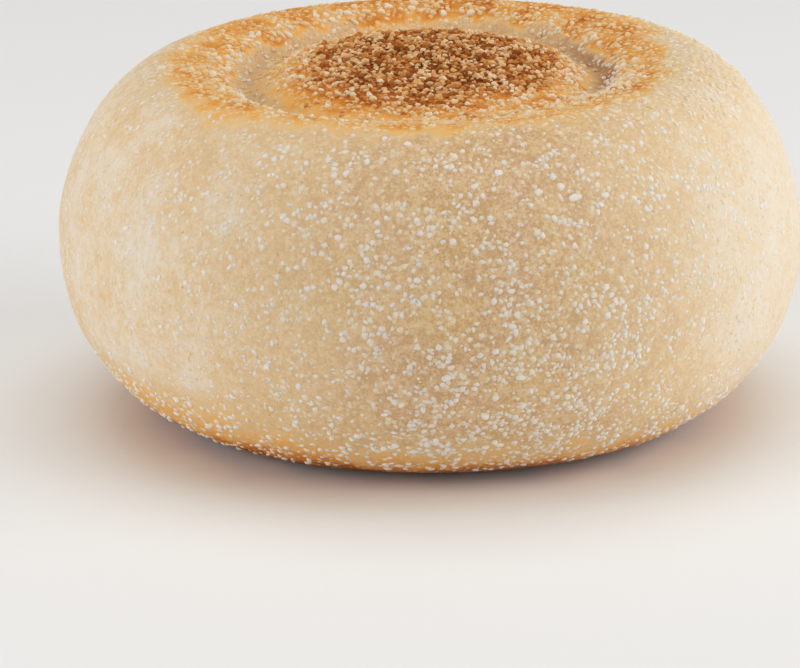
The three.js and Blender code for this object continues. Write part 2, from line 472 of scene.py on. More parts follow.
def add_node(
    tree: bpy.types.NodeTree, kind: str, settings: dict | None = None, links: dict | None = None
) -> bpy.types.Node:
    """Adds a node.

    Args:
        tree: The material's tree.
        kind: The node's type name, without its leading ShaderNode.
        settings: Values by name. A socket's name or number sets the socket, any other name a property.
        links: By the name or number of an input, the output that goes to it, or a node for its first output.

    Returns:
        The new node.
    """
    node = tree.nodes.new("ShaderNode" + kind)
    for name, value in (settings or {}).items():
        if isinstance(name, str) and hasattr(node, name):
            setattr(node, name, value)
        else:
            node.inputs[name].default_value = value
    for name, source in (links or {}).items():
        output = source.outputs[0] if isinstance(source, bpy.types.Node) else source
        tree.links.new(output, node.inputs[name])
    return node


def new_material(name: str) -> tuple[bpy.types.Material, partial]:
    """Makes a material with an empty tree.

    Args:
        name: The material's name.

    Returns:
        The material, and the function that adds nodes to its tree.
    """
    material = bpy.data.materials.new(name)
    material.use_nodes = True
    material.node_tree.nodes.clear()
    return material, partial(add_node, material.node_tree)


def colour_stops(ramp: bpy.types.Node, stops: tuple[tuple[float, str], ...]) -> bpy.types.Node:
    """Sets a colour ramp's stops.

    Args:
        ramp: The ramp's node.
        stops: Places and sRGB hex colours.

    Returns:
        The same node.
    """
    elements = ramp.color_ramp.elements
    while len(elements) < len(stops):
        elements.new(1.0)
    for element, (place, colour) in zip(elements, stops):
        element.position = place
        element.color = linear(colour)
    return ramp


@dataclass(frozen=True)
class BakedDough:
    """Wheat dough baked on a griddle: pale and matt where only steam and flour touched it, toasted where it
    pressed on the hot plate. The eye sees a soft, dry, faintly mottled skin with fine meal baked into it."""

    name: str = "baked_wheat_dough"
    toast: tuple = (
        (0.0, "#dbbb92"),
        (0.15, "#e9c287"),
        (0.3, "#ecb163"),
        (0.42, "#e29a46"),
        (0.55, "#cf7e33"),
        (0.68, "#af5f24"),
        (0.82, "#884113"),
        (1.0, "#5f2708"),
    )
    dough: tuple = ((0.34, "#c49b6e"), (0.5, "#d3ab7c"), (0.68, "#dfc095"))
    pit_shade: str = "#98592e"  # painted shade: a darker brown for the floor deep in the ring's narrow pit
    flour: tuple = ((0.2, "#e6ca9f"), (0.7, "#e7ddcf"))  # damp, where it clings to the skin, and dry
    patch_tints: tuple = ((0.38, "#ceaa8e"), (0.62, "#dab77a"))  # greyish pink and yellow
    patch_share: float = 0.28
    meal: str = "#ecdbbe"
    meal_shares: tuple = (0.0, 0.5, 0.5, 0.15)  # toasting, and how much of the dough it then covers
    speck: str = "#b46c34"
    roughness: float = 0.88
    ior: float = 1.45
    gloss: float = 0.06  # dry starch mirrors far less than its IOR gives
    noise: dict = field(default_factory=lambda: {"Detail": 3.0, "Roughness": 0.55, "Distortion": 0.4})
    fibre: float = 0.34  # paper-like fibres of the skin
    fleck: float = 1.1
    blotch: float = 2.6
    patch: float = 8.0
    fibre_share: float = 1.8
    fleck_share: float = 0.85
    calming: float = 0.65  # how much less the fibres show in the toasting
    blotch_share: float = 0.7
    blotch_shift: float = -0.275
    meal_size: float = 0.75  # fine meal baked into the skin
    meal_strays: float = 0.9
    meal_edge: tuple = (0.55, 0.3)
    meal_sown: tuple = (0.3, 0.9)
    meal_shade: float = 0.5  # how much less a grain of it is toasted
    toasted_mottle: float = 0.55
    pale_mottle: float = 0.05
    drifting: float = 0.65  # of dry flour, in patches and in blotches
    dry_middle: float = -1.26
    dry_grain: float = 0.42
    lying: tuple = (0.3, 0.7, -0.1, 0.1)  # flecks, and the flour that they take away or add
    # the painted shade of the ring's pit: values of the flour mark below 0, carried to its share
    pit_shading: tuple = (-0.05, -1.0)
    browned_from: tuple = (0.01, 0.22)
    speck_gap: float = 1.4
    speck_edge: tuple = (0.1, 0.05, 0.0, 0.5)
    bump_depth: float = 0.03
    toasted_bump: float = 0.5  # how much rougher the toasted crust is

    def material(self) -> bpy.types.Material:
        """Makes the material.

        Returns:
            The material.
        """
        material, add = new_material(self.name)
        colours = {"data_type": "RGBA"}
        place = add("TexCoord").outputs["Object"]
        marks = ("browning", "bloom", "veil")
        browning, bloom, veil = (add("Attribute", {"attribute_name": mark}).outputs["Fac"] for mark in marks)
        fibres, flecks, blotches, patches = (
            add("TexNoise", {"Scale": per_metre(size), **self.noise}, {"Vector": place})
            for size in (self.fibre, self.fleck, self.blotch, self.patch)
        )
        scaled = {"operation": "MULTIPLY_ADD"}
        fine = add("Math", {**scaled, 1: self.fibre_share, 2: -self.fibre_share / 2}, {0: fibres})
        medium = add("Math", {**scaled, 1: self.fleck_share}, {0: flecks, 2: fine})
        calm = add("Math", {**scaled, 1: -self.calming}, {0: fine, 2: medium})
        broad = add("Math", {**scaled, 1: self.blotch_share, 2: self.blotch_shift}, {0: blotches})
        mottle, lumps = (add("Math", {"operation": "ADD"}, {0: part, 1: broad}) for part in (medium, calm))
        # Grains of meal: the middles of cells, in those cells whose chance colour is high enough.
        bends = {"Scale": per_metre(self.meal_size / 2), "Detail": 1.0}
        strayed = add("TexNoise", bends, {"Vector": place})
        reach = (self.meal_strays * self.meal_size * METRES,) * 3
        bent = add("VectorMath", {**scaled, 1: reach}, {0: strayed.outputs["Color"], 2: place})
        cells = add("TexVoronoi", {"Scale": per_metre(self.meal_size)}, {"Vector": bent})
        chance = add("SeparateColor", {}, {"Color": cells.outputs["Color"]})
        near = add("MapRange", dict(zip(SPAN, self.meal_edge)), {"Value": cells})
        sown = add("MapRange", dict(zip(SPAN, self.meal_sown)), {"Value": chance})
        meal = add("Math", {"operation": "MULTIPLY"}, {0: near, 1: sown})
        # The mottling of the toasting grows with it, and a grain of meal is less toasted than the dough.
        strength = add("Math", {**scaled, 1: self.toasted_mottle, 2: self.pale_mottle}, {0: browning})
        uneven = add("Math", {"operation": "SUBTRACT", 1: 0.5}, {0: lumps})
        toasted = add("Math", scaled, {0: uneven, 1: strength, 2: browning})
        shaded = add("Math", {**scaled, 1: -self.meal_shade, 2: 1.0}, {0: meal})
        level = add("Math", {"operation": "MULTIPLY", "use_clamp": True}, {0: toasted, 1: shaded})
        toast = colour_stops(add("ValToRGB", {}, {"Fac": level}), self.toast)
        pale = colour_stops(add("ValToRGB", {}, {"Fac": mottle}), self.dough)
        tint = colour_stops(add("ValToRGB", {}, {"Fac": patches}), self.patch_tints)
        dough = add("Mix", {**colours, "Factor": self.patch_share}, {6: pale, 7: tint}).outputs[2]
        # Flour: how much of it lies there, partly painted light and shade, and whether it is dry and white or
        # damp and yellow.
        lying = add("MapRange", dict(zip(SPAN, self.lying)), {"Value": flecks})
        floury = add("Math", {"operation": "ADD", "use_clamp": True}, {0: lying, 1: bloom})
        clouds = add("Math", {**scaled, 1: self.drifting, 2: self.dry_middle}, {0: patches})
        drifts = add("Math", {**scaled, 1: self.drifting}, {0: blotches, 2: clouds})
        spread = add("Math", {**scaled, 1: self.dry_grain}, {0: medium, 2: drifts})
        dryness = add("Math", {"operation": "ADD", "use_clamp": True}, {0: bloom, 1: spread})
        flour = colour_stops(add("ValToRGB", {}, {"Fac": dryness}), self.flour)
        # Painted shade deep in the ring's pit: the dough turns a darker brown there.
        pit_shading = add("MapRange", dict(zip(SPAN, self.pit_shading)), {"Value": bloom})
        pit_shaded = add("Mix", {**colours, 7: linear(self.pit_shade)}, {"Factor": pit_shading, 6: dough}).outputs[2]
        dusted = add("Mix", colours, {"Factor": floury, 6: pit_shaded, 7: flour}).outputs[2]
        browned = add("MapRange", dict(zip(SPAN, self.browned_from)), {"Value": level})
        baked = add("Mix", colours, {"Factor": browned, 6: dusted, 7: toast}).outputs[2]
        # Fine meal over the skin; round the foot it is partly painted light, a paler, greyer foot as under
        # the floor's bounce light.
        veiled = add("Mix", {**colours, 7: linear(self.meal)}, {"Factor": veil, 6: baked}).outputs[2]
        unbaked = add("MapRange", dict(zip(SPAN, self.meal_shares)), {"Value": level})
        shown = add("Math", {"operation": "MULTIPLY"}, {0: meal, 1: unbaked})
        mealy = add("Mix", {**colours, 7: linear(self.meal)}, {"Factor": shown, 6: veiled}).outputs[2]
        dots = add("TexVoronoi", {"Scale": per_metre(self.speck_gap)}, {"Vector": place})
        dot_chance = add("SeparateColor", {}, {"Color": dots.outputs["Color"]})
        dot = add("MapRange", dict(zip(SPAN, self.speck_edge)), {"Value": dots})
        dotted = add("Math", {"operation": "GREATER_THAN", 1: 0.5}, {0: dot_chance})
        speck = add("Math", {"operation": "MULTIPLY"}, {0: dot, 1: dotted})
        colour = add("Mix", {**colours, 7: linear(self.speck)}, {"Factor": speck, 6: mealy}).outputs[2]
        rough = add("Math", {**scaled, 1: self.toasted_bump, 2: 1.0}, {0: browned})
        grain = add("Math", {"operation": "ADD"}, {0: medium, 1: meal})
        height = add("Math", {"operation": "MULTIPLY"}, {0: grain, 1: rough})
        bump = add("Bump", {"Strength": 1.0, "Distance": self.bump_depth * METRES}, {"Height": height})
        shader = add(
            "BsdfPrincipled",
            {"Roughness": self.roughness, "IOR": self.ior, "Specular IOR Level": self.gloss},
            {"Base Color": colour, "Normal": bump},
        )
        add("OutputMaterial", {}, {"Surface": shader})
        return material


@dataclass(frozen=True)
class Semolina:
    """Coarse semolina, milled hard wheat: hard, angular, matt cream grains that the griddle toasts to tan
    and brown."""

    name: str = "milled_semolina"
    toast: tuple = (
        (0.0, "#dcd4cb"),
        (0.06, "#ebe2da"),
        (0.15, "#eaddca"),
        (0.32, "#e9cda0"),
        (0.5, "#dfae70"),
        (0.65, "#ca8441"),
        (0.8, "#a15b22"),
        (1.0, "#70350d"),
    )
    roughness: float = 0.8
    ior: float = 1.5
    gloss: float = 0.1  # milled faces are too rough to shine
    glow: float = 0.5  # share of the light that wanders through a grain before it comes out
    glow_reach: float = 0.3
    glow_radius: tuple = (1.0, 0.95, 0.9)
    mottle: float = 0.5
    mottle_share: float = 0.3

    def material(self) -> bpy.types.Material:
        """Makes the material.

        Returns:
            The material.
        """
        material, add = new_material(self.name)
        place = add("TexCoord").outputs["Object"]
        tone = add("Attribute", {"attribute_name": "tone"}).outputs["Fac"]
        mottle = add("TexNoise", {"Scale": per_metre(self.mottle), "Detail": 2.0}, {"Vector": place})
        shift = {"operation": "MULTIPLY_ADD", 1: self.mottle_share, 2: -self.mottle_share / 2}
        shifted = add("Math", shift, {0: mottle})
        level = add("Math", {"operation": "ADD", "use_clamp": True}, {0: tone, 1: shifted})
        toast = colour_stops(add("ValToRGB", {}, {"Fac": level}), self.toast)
        settings = {
            "Roughness": self.roughness,
            "IOR": self.ior,
            "Specular IOR Level": self.gloss,
            "Subsurface Weight": self.glow,
            "Subsurface Radius": self.glow_radius,
            "Subsurface Scale": self.glow_reach * METRES,
        }
        shader = add("BsdfPrincipled", settings, {"Base Color": toast})
        add("OutputMaterial", {}, {"Surface": shader})
        return material


def write_mesh(
    name: str,
    points: Array,
    faces: Array,
    marks: dict[str, Array],
    material: bpy.types.Material,
    smooth: bool,
) -> bpy.types.Object:
    """Makes a mesh piece that rides on the body.

    Args:
        name: The piece's name.
        points: One point a row, in millimetres.
        faces: Corner numbers, one face a row.
        marks: Values at the points, by attribute name.
        material: Its finish.
        smooth: Whether its faces blend into each other or are seen as facets.

    Returns:
        The new object, in metres.
    """
    mesh = bpy.data.meshes.new(name)
    corners = faces.shape[1]
    mesh.vertices.add(len(points))
    mesh.vertices.foreach_set("co", (points * METRES).astype(np.float32).ravel())
    mesh.loops.add(faces.size)
    mesh.loops.foreach_set("vertex_index", faces.astype(np.int32).ravel())
    mesh.polygons.add(len(faces))
    mesh.polygons.foreach_set("loop_start", np.arange(0, faces.size, corners, dtype=np.int32))
    mesh.polygons.foreach_set("use_smooth", np.full(len(faces), smooth))
    for label, values in marks.items():
        mesh.attributes.new(label, "FLOAT", "POINT").data.foreach_set("value", values.astype(np.float32))
    mesh.update(calc_edges=True)
    mesh.validate()
    mesh.materials.append(material)
    piece = bpy.data.objects.new(name, mesh)
    bpy.context.scene.collection.objects.link(piece)
    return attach(piece, BODY)


@dataclass
class Crust:
    """The baked skin of the loaf, one closed mesh that stands for the solid."""

    form: LoafForm = LoafForm()
    browning: Browning = Browning()
    grain: CrustGrain = CrustGrain()
    flouring: Flouring = Flouring()
    finish: BakedDough = BakedDough()
    underside_to: float = 1.2  # height below which relief only goes inward, so that the foot stays flat
    cells: int = 128  # along each edge of the cube that the mesh is blown up from
    mesh_shares: dict = field(default_factory=lambda: dict(zip(Zone, (0.35, 0.95, 1.0, 1.9))))
    points: Array = field(init=False)
    faces: Array = field(init=False)
    normals: Array = field(init=False)
    plain: dict = field(init=False)

    def blown_cube(self) -> tuple[Array, Array]:
        """Spreads a grid evenly over a sphere.

        Returns:
            Directions, and four-cornered faces.
        """
        steps = np.tan(np.linspace(-1, 1, self.cells + 1) * math.pi / 4)
        u, v = (grid.ravel() for grid in np.meshgrid(steps, steps, indexing="ij"))
        row = np.arange(self.cells)[:, None] * (self.cells + 1)
        corner = (row + np.arange(self.cells)[None, :]).ravel()
        ring = np.stack([corner, corner + self.cells + 1, corner + self.cells + 2, corner + 1], axis=1)
        points, faces = [], []
        for axis, side in itertools.product(range(3), (-1, 1)):
            face = np.empty((len(u), 3))
            face[:, axis] = side
            face[:, (axis + 1) % 3] = u
            face[:, (axis + 2) % 3] = v
            faces.append((ring if side > 0 else ring[:, ::-1]) + len(u) * len(points))
            points.append(face)
        points = np.concatenate(points)
        points /= np.linalg.norm(points, axis=1, keepdims=True)
        rounded = np.round(points, 7)  # so that points on the cube's shared edges count as the same
        _, first, same = np.unique(rounded, axis=0, return_index=True, return_inverse=True)
        return points[first], same.ravel()[np.concatenate(faces)]

    def normals_of(self, points: Array) -> Array:
        """Works out normals, each the mean of its faces'.

        Args:
            points: One point a row, for the crust's faces.

        Returns:
            One normal a row.
        """
        a, b, c, d = (points[self.faces[:, i]] for i in range(4))
        facing = np.cross(c - a, d - b)
        total = np.zeros_like(points)
        for i in range(4):
            for axis in range(3):
                total[:, axis] += np.bincount(self.faces[:, i], facing[:, axis], len(points))
        return total / np.linalg.norm(total, axis=1, keepdims=True)

    def shape(self) -> None:
        """Works out the mesh: the form, then the fine relief along its normals."""
        directions, self.faces = self.blown_cube()
        radii, heights, below = self.form.turned(self.mesh_shares)
        share = (1 + directions[:, 2]) / 2
        radius = np.interp(share, below, radii)
        height = np.interp(share, below, heights)
        angle = np.arctan2(directions[:, 1], directions[:, 0])
        points = self.form.skin(radius, height, angle)
        toasted = self.browning.level(self.form, points, radius, height, angle)
        outward = self.normals_of(points)
        relief = self.grain.height(points, toasted)
        under = 1 - smooth_step(height, 0.0, self.underside_to)
        relief = relief * (1 - under) - under * np.abs(relief)
        points = points + outward * relief[:, None]
        self.points = points
        self.normals = self.normals_of(points)
        self.plain = {"radius": radius, "height": height, "angle": angle, "browning": toasted}

    def build(self) -> bpy.types.Object:
        """Makes the piece and dresses it.

        Returns:
            The piece.
        """
        self.shape()
        bloom, veil = self.flouring.bloom(self), self.flouring.veil(self)
        marks = {"browning": self.plain["browning"], "bloom": bloom, "veil": veil}
        piece = write_mesh("crust", self.points, self.faces, marks, self.finish.material(), smooth=True)
        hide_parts(NODE)
        return piece


def laid_down(
    local: Array, faces: Array, middles: Array, normals: Array, firsts: Array
) -> tuple[Array, Array]:
    """Lays grains on their spots and joins them.

    Args:
        local: The points of each grain, with its length along x, its width along y and its thickness along z.
        faces: The faces of one grain.
        middles: The grains' middles.
        normals: The surface's normal under each.
        firsts: The way that each one's length runs.

    Returns:
        Points and faces.
    """
    axes = np.stack([firsts, np.cross(normals, firsts), normals], axis=1)
    placed = np.einsum("gpi,gix->gpx", local, axes) + middles[:, None]
    shift = np.arange(len(middles))[:, None, None] * local.shape[1]
    return placed.reshape(-1, 3), (faces[None] + shift).reshape(-1, 3)


@dataclass(frozen=True)
class Nugget:
    """A grain as thick as it is wide: a twenty-sided form with strayed corners, rounded once or not."""

    rounded: bool = True
    crag: float = 0.27
    bulge: float = 1.08  # of the middle of an edge, as a share of its straight middle
    neighbourly: float = 1.1  # how far off a corner's neighbours may lie, against the nearest
    order: tuple = (11, 5, 0, 1, 7, 10, 9, 4, 2, 6, 8, 3)  # in which the solid's grains take their chances

    def corners(self) -> Array:
        """Places the twelve corners of the plain grain, one millimetre from its middle.

        Returns:
            One corner a row.
        """
        golden = (1 + math.sqrt(5)) / 2
        pairs = [(a, b) for b in (golden, -golden) for a in (-1, 1)]
        places = [(a, b, 0) for a, b in pairs] + [(0, a, b) for a, b in pairs] + [(b, 0, a) for a, b in pairs]
        return np.array(places)[list(self.order)] / math.hypot(1, golden)

    def sides(self) -> list[tuple[int, int, int]]:
        """Finds the twenty faces, turned outward.

        Returns:
            The corner numbers of each.
        """
        corners = self.corners()
        apart = np.linalg.norm(corners[:, None] - corners[None], axis=2)
        reach = self.neighbourly * np.min(apart[apart > 0])
        sides = []
        for a, b, c in itertools.combinations(range(len(corners)), 3):
            if max(apart[a, b], apart[b, c], apart[c, a]) < reach:
                out = np.dot(np.cross(corners[b] - corners[a], corners[c] - corners[a]), corners[a])
                sides.append((a, b, c) if out > 0 else (a, c, b))
        return sides

    def template(self) -> tuple[Array, Array]:
        """Works out how a grain is made from its twelve corners.

        Returns:
            Its faces, and the weights that carry the corners to its points.
        """
        sides = self.sides()
        weights = list(np.eye(CORNERS))
        if not self.rounded:
            return np.array(sides), np.array(weights)
        middles: dict[tuple[int, int], int] = {}
        parts = []
        for a, b, c in sides:
            mid = []
            for pair in ((a, b), (b, c), (c, a)):
                key = (min(pair), max(pair))
                if key not in middles:
                    middles[key] = len(weights)
                    row = np.zeros(CORNERS)
                    row[list(key)] = self.bulge / 2
                    weights.append(row)
                mid.append(middles[key])
            ab, bc, ca = mid
            parts += [(a, ab, ca), (ab, b, bc), (ca, bc, c), (ab, bc, ca)]
        return np.array(parts), np.array(weights)

    def grains(self, sizes: Array, strays: Array) -> tuple[Array, Array]:
        """Makes grains.

        Args:
            sizes: Length, width and thickness of each.
            strays: Twelve chances for each, from -1 to 1.

        Returns:
            The points of each grain, and the faces of one.
        """
        faces, weights = self.template()
        corners = self.corners()[None] * (1 + self.crag * strays[:, :, None]) * sizes[:, None, :] / 2
        return np.einsum("pc,gci->gpi", weights, corners), faces


@dataclass(frozen=True)
class Chip:
    """A flat grain pressed into the dough: an uneven many-cornered plate with a bevelled edge."""

    crag: float = 0.3
    corners: int = 8
    bevel: float = 0.24  # how much smaller its upper face is
    waist: float = -0.15  # height of its widest outline, as a share of its thickness
    shoulder: float = 0.42
    turn_strays: float = 0.32

    def grains(self, sizes: Array, strays: Array) -> tuple[Array, Array]:
        """Makes grains.

        Args:
            sizes: Length, width and thickness of each.
            strays: Twelve chances for each, from -1 to 1.

        Returns:
            The points of each grain, and the faces of one.
        """
        n = self.corners
        reach = (1 + self.crag * strays[:, :n]) / 2
        turn = FULL_TURN / n * (np.arange(n)[None] + self.turn_strays * strays[:, -n:])
        waist = np.full(reach.shape, self.waist)
        outline = np.stack([reach * np.cos(turn), reach * np.sin(turn), waist], axis=2)
        upper = outline * (1 - self.bevel)
        upper[:, :, 2] = self.shoulder
        ends = np.zeros((len(sizes), 2, 3))
        ends[:, :, 2] = (0.5, -0.5)
        top, bottom = 2 * n, 2 * n + 1
        faces = []
        for i in range(n):
            j = (i + 1) % n
            faces += [(i, j, n + j), (i, n + j, n + i), (n + i, n + j, top), (j, i, bottom)]
        return np.concatenate([outline, upper, ends], axis=1) * sizes[:, None, :], np.array(faces)


def any_way_along(normals: Array, rng: np.random.Generator) -> Array:
    """Picks ways along the surface.

    Args:
        normals: The surface's normals.
        rng: The source of chance.

    Returns:
        A random unit way for each.
    """
    across = np.cross(normals, ASKEW)
    across /= np.linalg.norm(across, axis=1, keepdims=True)
    turn = rng.uniform(0, FULL_TURN, len(normals))[:, None]
    return across * np.cos(turn) + np.cross(normals, across) * np.sin(turn)


class Place(Enum):
    """Where grains lie on the loaf."""

    SIDE = "side"
    BURIED = "buried"
    DOME = "dome"
    RIM = "rim"
    FOOT_EDGE = "foot_edge"
    UNDERSIDE = "underside"
    LIP = "lip"
    DUST = "dust"


@dataclass(frozen=True)
class Spread:
    """How thickly grains lie over each place. Radii and heights in millimetres."""

    top_from: float = 0.93  # share of the height
    front_at: float = -77.0
    front_spread: float = 28.0
    front_wider: float = 14.0  # by how much at the shoulder
    shoulder: tuple = (26, 38)
    right: Sector = Sector(-5, 50)
    shares: tuple = (  # everywhere, and more at the front and on the right
        (Place.SIDE, (0.05, 0.95, 0.06)),
        (Place.BURIED, (0.3, 0.7, 0.35)),
        (Place.DUST, (0.5, -0.25, 0.2)),
    )
    dust_from: float = 0.4
    dust_browning: tuple = (0.05, 0.3)
    side_starts: tuple = (3, 9)
    side_ends: tuple = (39.5, 42.5)
    side_thins: tuple = (15, 32)
    side_thinning: float = 0.45
    dome_to: float = 25.5
    dome_thins: tuple = (14.5, 20.5)
    dome_thinning: tuple = (0.63, 0.33)  # everywhere, and more where the ring is open
    rim_starts: tuple = (21.0, 27.0)
    rim_opening: float = 4.0  # how much further out it starts where the ring is open
    rim_ends: tuple = (28.0, 34.0)
    rim_right: tuple = (1.5, 6.0)  # how much further out it ends on the right
    rim_lower: float = 0.06  # and how much lower, as a share of the height
    lip: tuple = (26.5, 0.8)  # radius and width
    pit: tuple = (25.4, 1.6)  # the ring's narrow end
    pit_sector: Sector = Sector(-20, 18, 4.0)
    foot_starts: tuple = (1.3, 3.4)
    foot_reach: float = 4.5
    foot_higher: Sector = Sector(215, 40, 2.5)
    foot_fade: float = 5.0
    underside_to: float = 0.02

    def density(self, place: Place, crust: Crust) -> Array:
        """Works out where the grains of a place lie.

        Args:
            place: The place.
            crust: The shaped crust.

        Returns:
            One value a point of the crust, 0 where none lie.
        """
        radius, height, angle = (crust.plain[name] for name in ("radius", "height", "angle"))
        ring = crust.form.round_ring_radius(radius, angle)
        opened = crust.form.openness(angle)
        top = height > self.top_from * crust.form.height
        right = self.right.at(angle)
        if place is Place.DOME:
            thinning = self.dome_thinning[0] + self.dome_thinning[1] * opened
            kept = 1 - smooth_step(radius, *self.dome_thins) * thinning
            return np.where(top & (radius < self.dome_to), kept, 0)
        if place is Place.RIM:
            start, end = (edge + further * right for edge, further in zip(self.rim_ends, self.rim_right))
            starts = smooth_step(ring, self.rim_starts[0] + self.rim_opening * opened, self.rim_starts[1])
            on_top = height > (self.top_from - self.rim_lower * right) * crust.form.height
            return np.where(on_top, starts * (1 - smooth_step(radius, start, end)), 0)
        if place is Place.LIP:
            pit = self.pit_sector.at(angle) * bell(ring, *self.pit)
            return np.where(top, opened * bell(ring, *self.lip) + pit, 0)
        if place is Place.FOOT_EDGE:
            above = height - (self.foot_reach + self.foot_higher.at(angle))
            return smooth_step(height, *self.foot_starts) * (1 - smooth_step(above, 0, self.foot_fade))
        if place is Place.UNDERSIDE:
            return np.where(height < self.underside_to, 1.0, 0.0)
        front_spread = self.front_spread + self.front_wider * smooth_step(height, *self.shoulder)
        everywhere, at_front, at_right = dict(self.shares)[place]
        share = everywhere + at_front * Sector(self.front_at, front_spread).at(angle) + at_right * right
        if place is Place.DUST:
            plain = 1 - smooth_step(crust.plain["browning"], *self.dust_browning)
            return np.where(height > self.dust_from, share * plain, 0.0)
        along_side = band(height, self.side_starts, self.side_ends)
        thinning = self.side_thinning * (place is Place.SIDE) * smooth_step(height, *self.side_thins)
        return along_side * (1 - thinning) * share


@dataclass(frozen=True)
class Dusting:
    """Semolina of one place: how much, how large, how toasted, and how it spreads."""

    place: Place
    count: int
    length: tuple[float, float]
    gap: float
    sunk: tuple[float, float]  # how deep a grain's middle lies, as a share of its thickness
    tone: tuple[float, float]
    seed: int
    shape: Nugget | Chip = Nugget()
    slimness: tuple[float, float] = (0.62, 0.95)  # width over length
    flatness: tuple[float, float] = (0.5, 0.75)  # thickness over length
    length_leaning: tuple[float, float] = (1.6, 2.2)  # towards the shortest and the longest
    cluster: float = 0.6  # how far the grains gather, from 0, evenly, to 1
    cluster_size: float = 5.0
    gathered: tuple[float, float] = (-0.25, 0.45)  # noise between which a place goes from bare to full
    drift_size: float = 2.4  # how far apart darker and lighter groups of grains lie
    drift: float = 0.55
    drift_share: float = 0.4
    leaning: tuple[float, float] = (0.9, 0.9)  # towards the pale and the toasted end
    toasting: tuple[float, float] = (0.4, 0.65)  # share of its tone on pale crust, and what browning adds
    smooth: bool = True
    tries: int = 4  # spots drawn for each grain wanted
    gather_seed: int = 5  # added to the seed
    drift_seed: int = 9
    spread: Spread = Spread()

    def apart(self, places: Array) -> list[int]:
        """Keeps the first places, up to the count, that each keep the gap from those kept before.

        Args:
            places: One place a row.

        Returns:
            The numbers of those kept.
        """
        cells: dict[tuple[int, int, int], list[Array]] = {}
        kept = []
        around = list(itertools.product((-1, 0, 1), repeat=3))
        for i, (place, key) in enumerate(zip(places, np.floor(places / self.gap).astype(int).tolist())):
            x, y, z = key
            near = (p for dx, dy, dz in around for p in cells.get((x + dx, y + dy, z + dz), ()))
            if all(math.dist(p, place) >= self.gap for p in near):
                cells.setdefault((x, y, z), []).append(place)
                kept.append(i)
                if len(kept) == self.count:
                    break
        return kept

    def spots(self, crust: Crust, rng: np.random.Generator) -> tuple[Array, Array, Array]:
        """Picks places on the crust.

        Args:
            crust: The shaped crust.
            rng: The source of chance.

        Returns:
            The places, the normals there, and how browned the crust is there.
        """
        a, b, c, d = (crust.points[crust.faces[:, i]] for i in range(4))
        area = np.linalg.norm(np.cross(c - a, d - b), axis=1) / 2
        gather = SpaceNoise(self.seed + self.gather_seed).at(crust.points, self.cluster_size)
        gather = smooth_step(gather, *self.gathered)
        density = self.spread.density(self.place, crust) * (1 - self.cluster + self.cluster * gather)
        chance = density[crust.faces].mean(axis=1) * area
        tries = self.count * self.tries
        chosen = crust.faces[rng.choice(len(chance), tries, p=chance / chance.sum())]
        u, v = rng.random((2, tries))
        shares = np.stack([(1 - u) * (1 - v), u * (1 - v), u * v, (1 - u) * v], axis=1)
        places = (crust.points[chosen] * shares[:, :, None]).sum(axis=1)
        kept = self.apart(places)
        normals = (crust.normals[chosen] * shares[:, :, None]).sum(axis=1)[kept]
        normals /= np.linalg.norm(normals, axis=1, keepdims=True)
        return places[kept], normals, (crust.plain["browning"][chosen] * shares).sum(axis=1)[kept]

    def build(self, crust: Crust, material: bpy.types.Material) -> bpy.types.Object:
        """Makes the piece and dresses it.

        Args:
            crust: The shaped crust.
            material: Its finish.

        Returns:
            The piece.
        """
        rng = np.random.default_rng(self.seed)
        places, normals, browning = self.spots(crust, rng)
        count = len(places)
        length = self.length[0] + (self.length[1] - self.length[0]) * rng.beta(*self.length_leaning, count)
        sizes = length[:, None] * np.stack(
            [np.ones(count), rng.uniform(*self.slimness, count), rng.uniform(*self.flatness, count)], axis=1
        )
        middles = places - normals * (rng.uniform(*self.sunk, count) * sizes[:, 2])[:, None]
        grains, sides = self.shape.grains(sizes, rng.uniform(-1, 1, (count, CORNERS)))
        points, faces = laid_down(grains, sides, middles, normals, any_way_along(normals, rng))
        points[:, 2] = np.maximum(points[:, 2], 0.0)
        drift = 0.5 + self.drift * SpaceNoise(self.seed + self.drift_seed).at(places, self.drift_size)
        toasted = (1 - self.drift_share) * rng.beta(*self.leaning, count) + self.drift_share * drift
        toasted = np.clip(toasted, 0, 1)
        toasting = self.toasting[0] + self.toasting[1] * browning
        tone = np.clip((self.tone[0] + (self.tone[1] - self.tone[0]) * toasted) * toasting, 0, 1)
        marks = {"tone": np.repeat(tone, len(points) // count)}
        piece = write_mesh("semolina_" + self.place.value, points, faces, marks, material, self.smooth)
        return piece


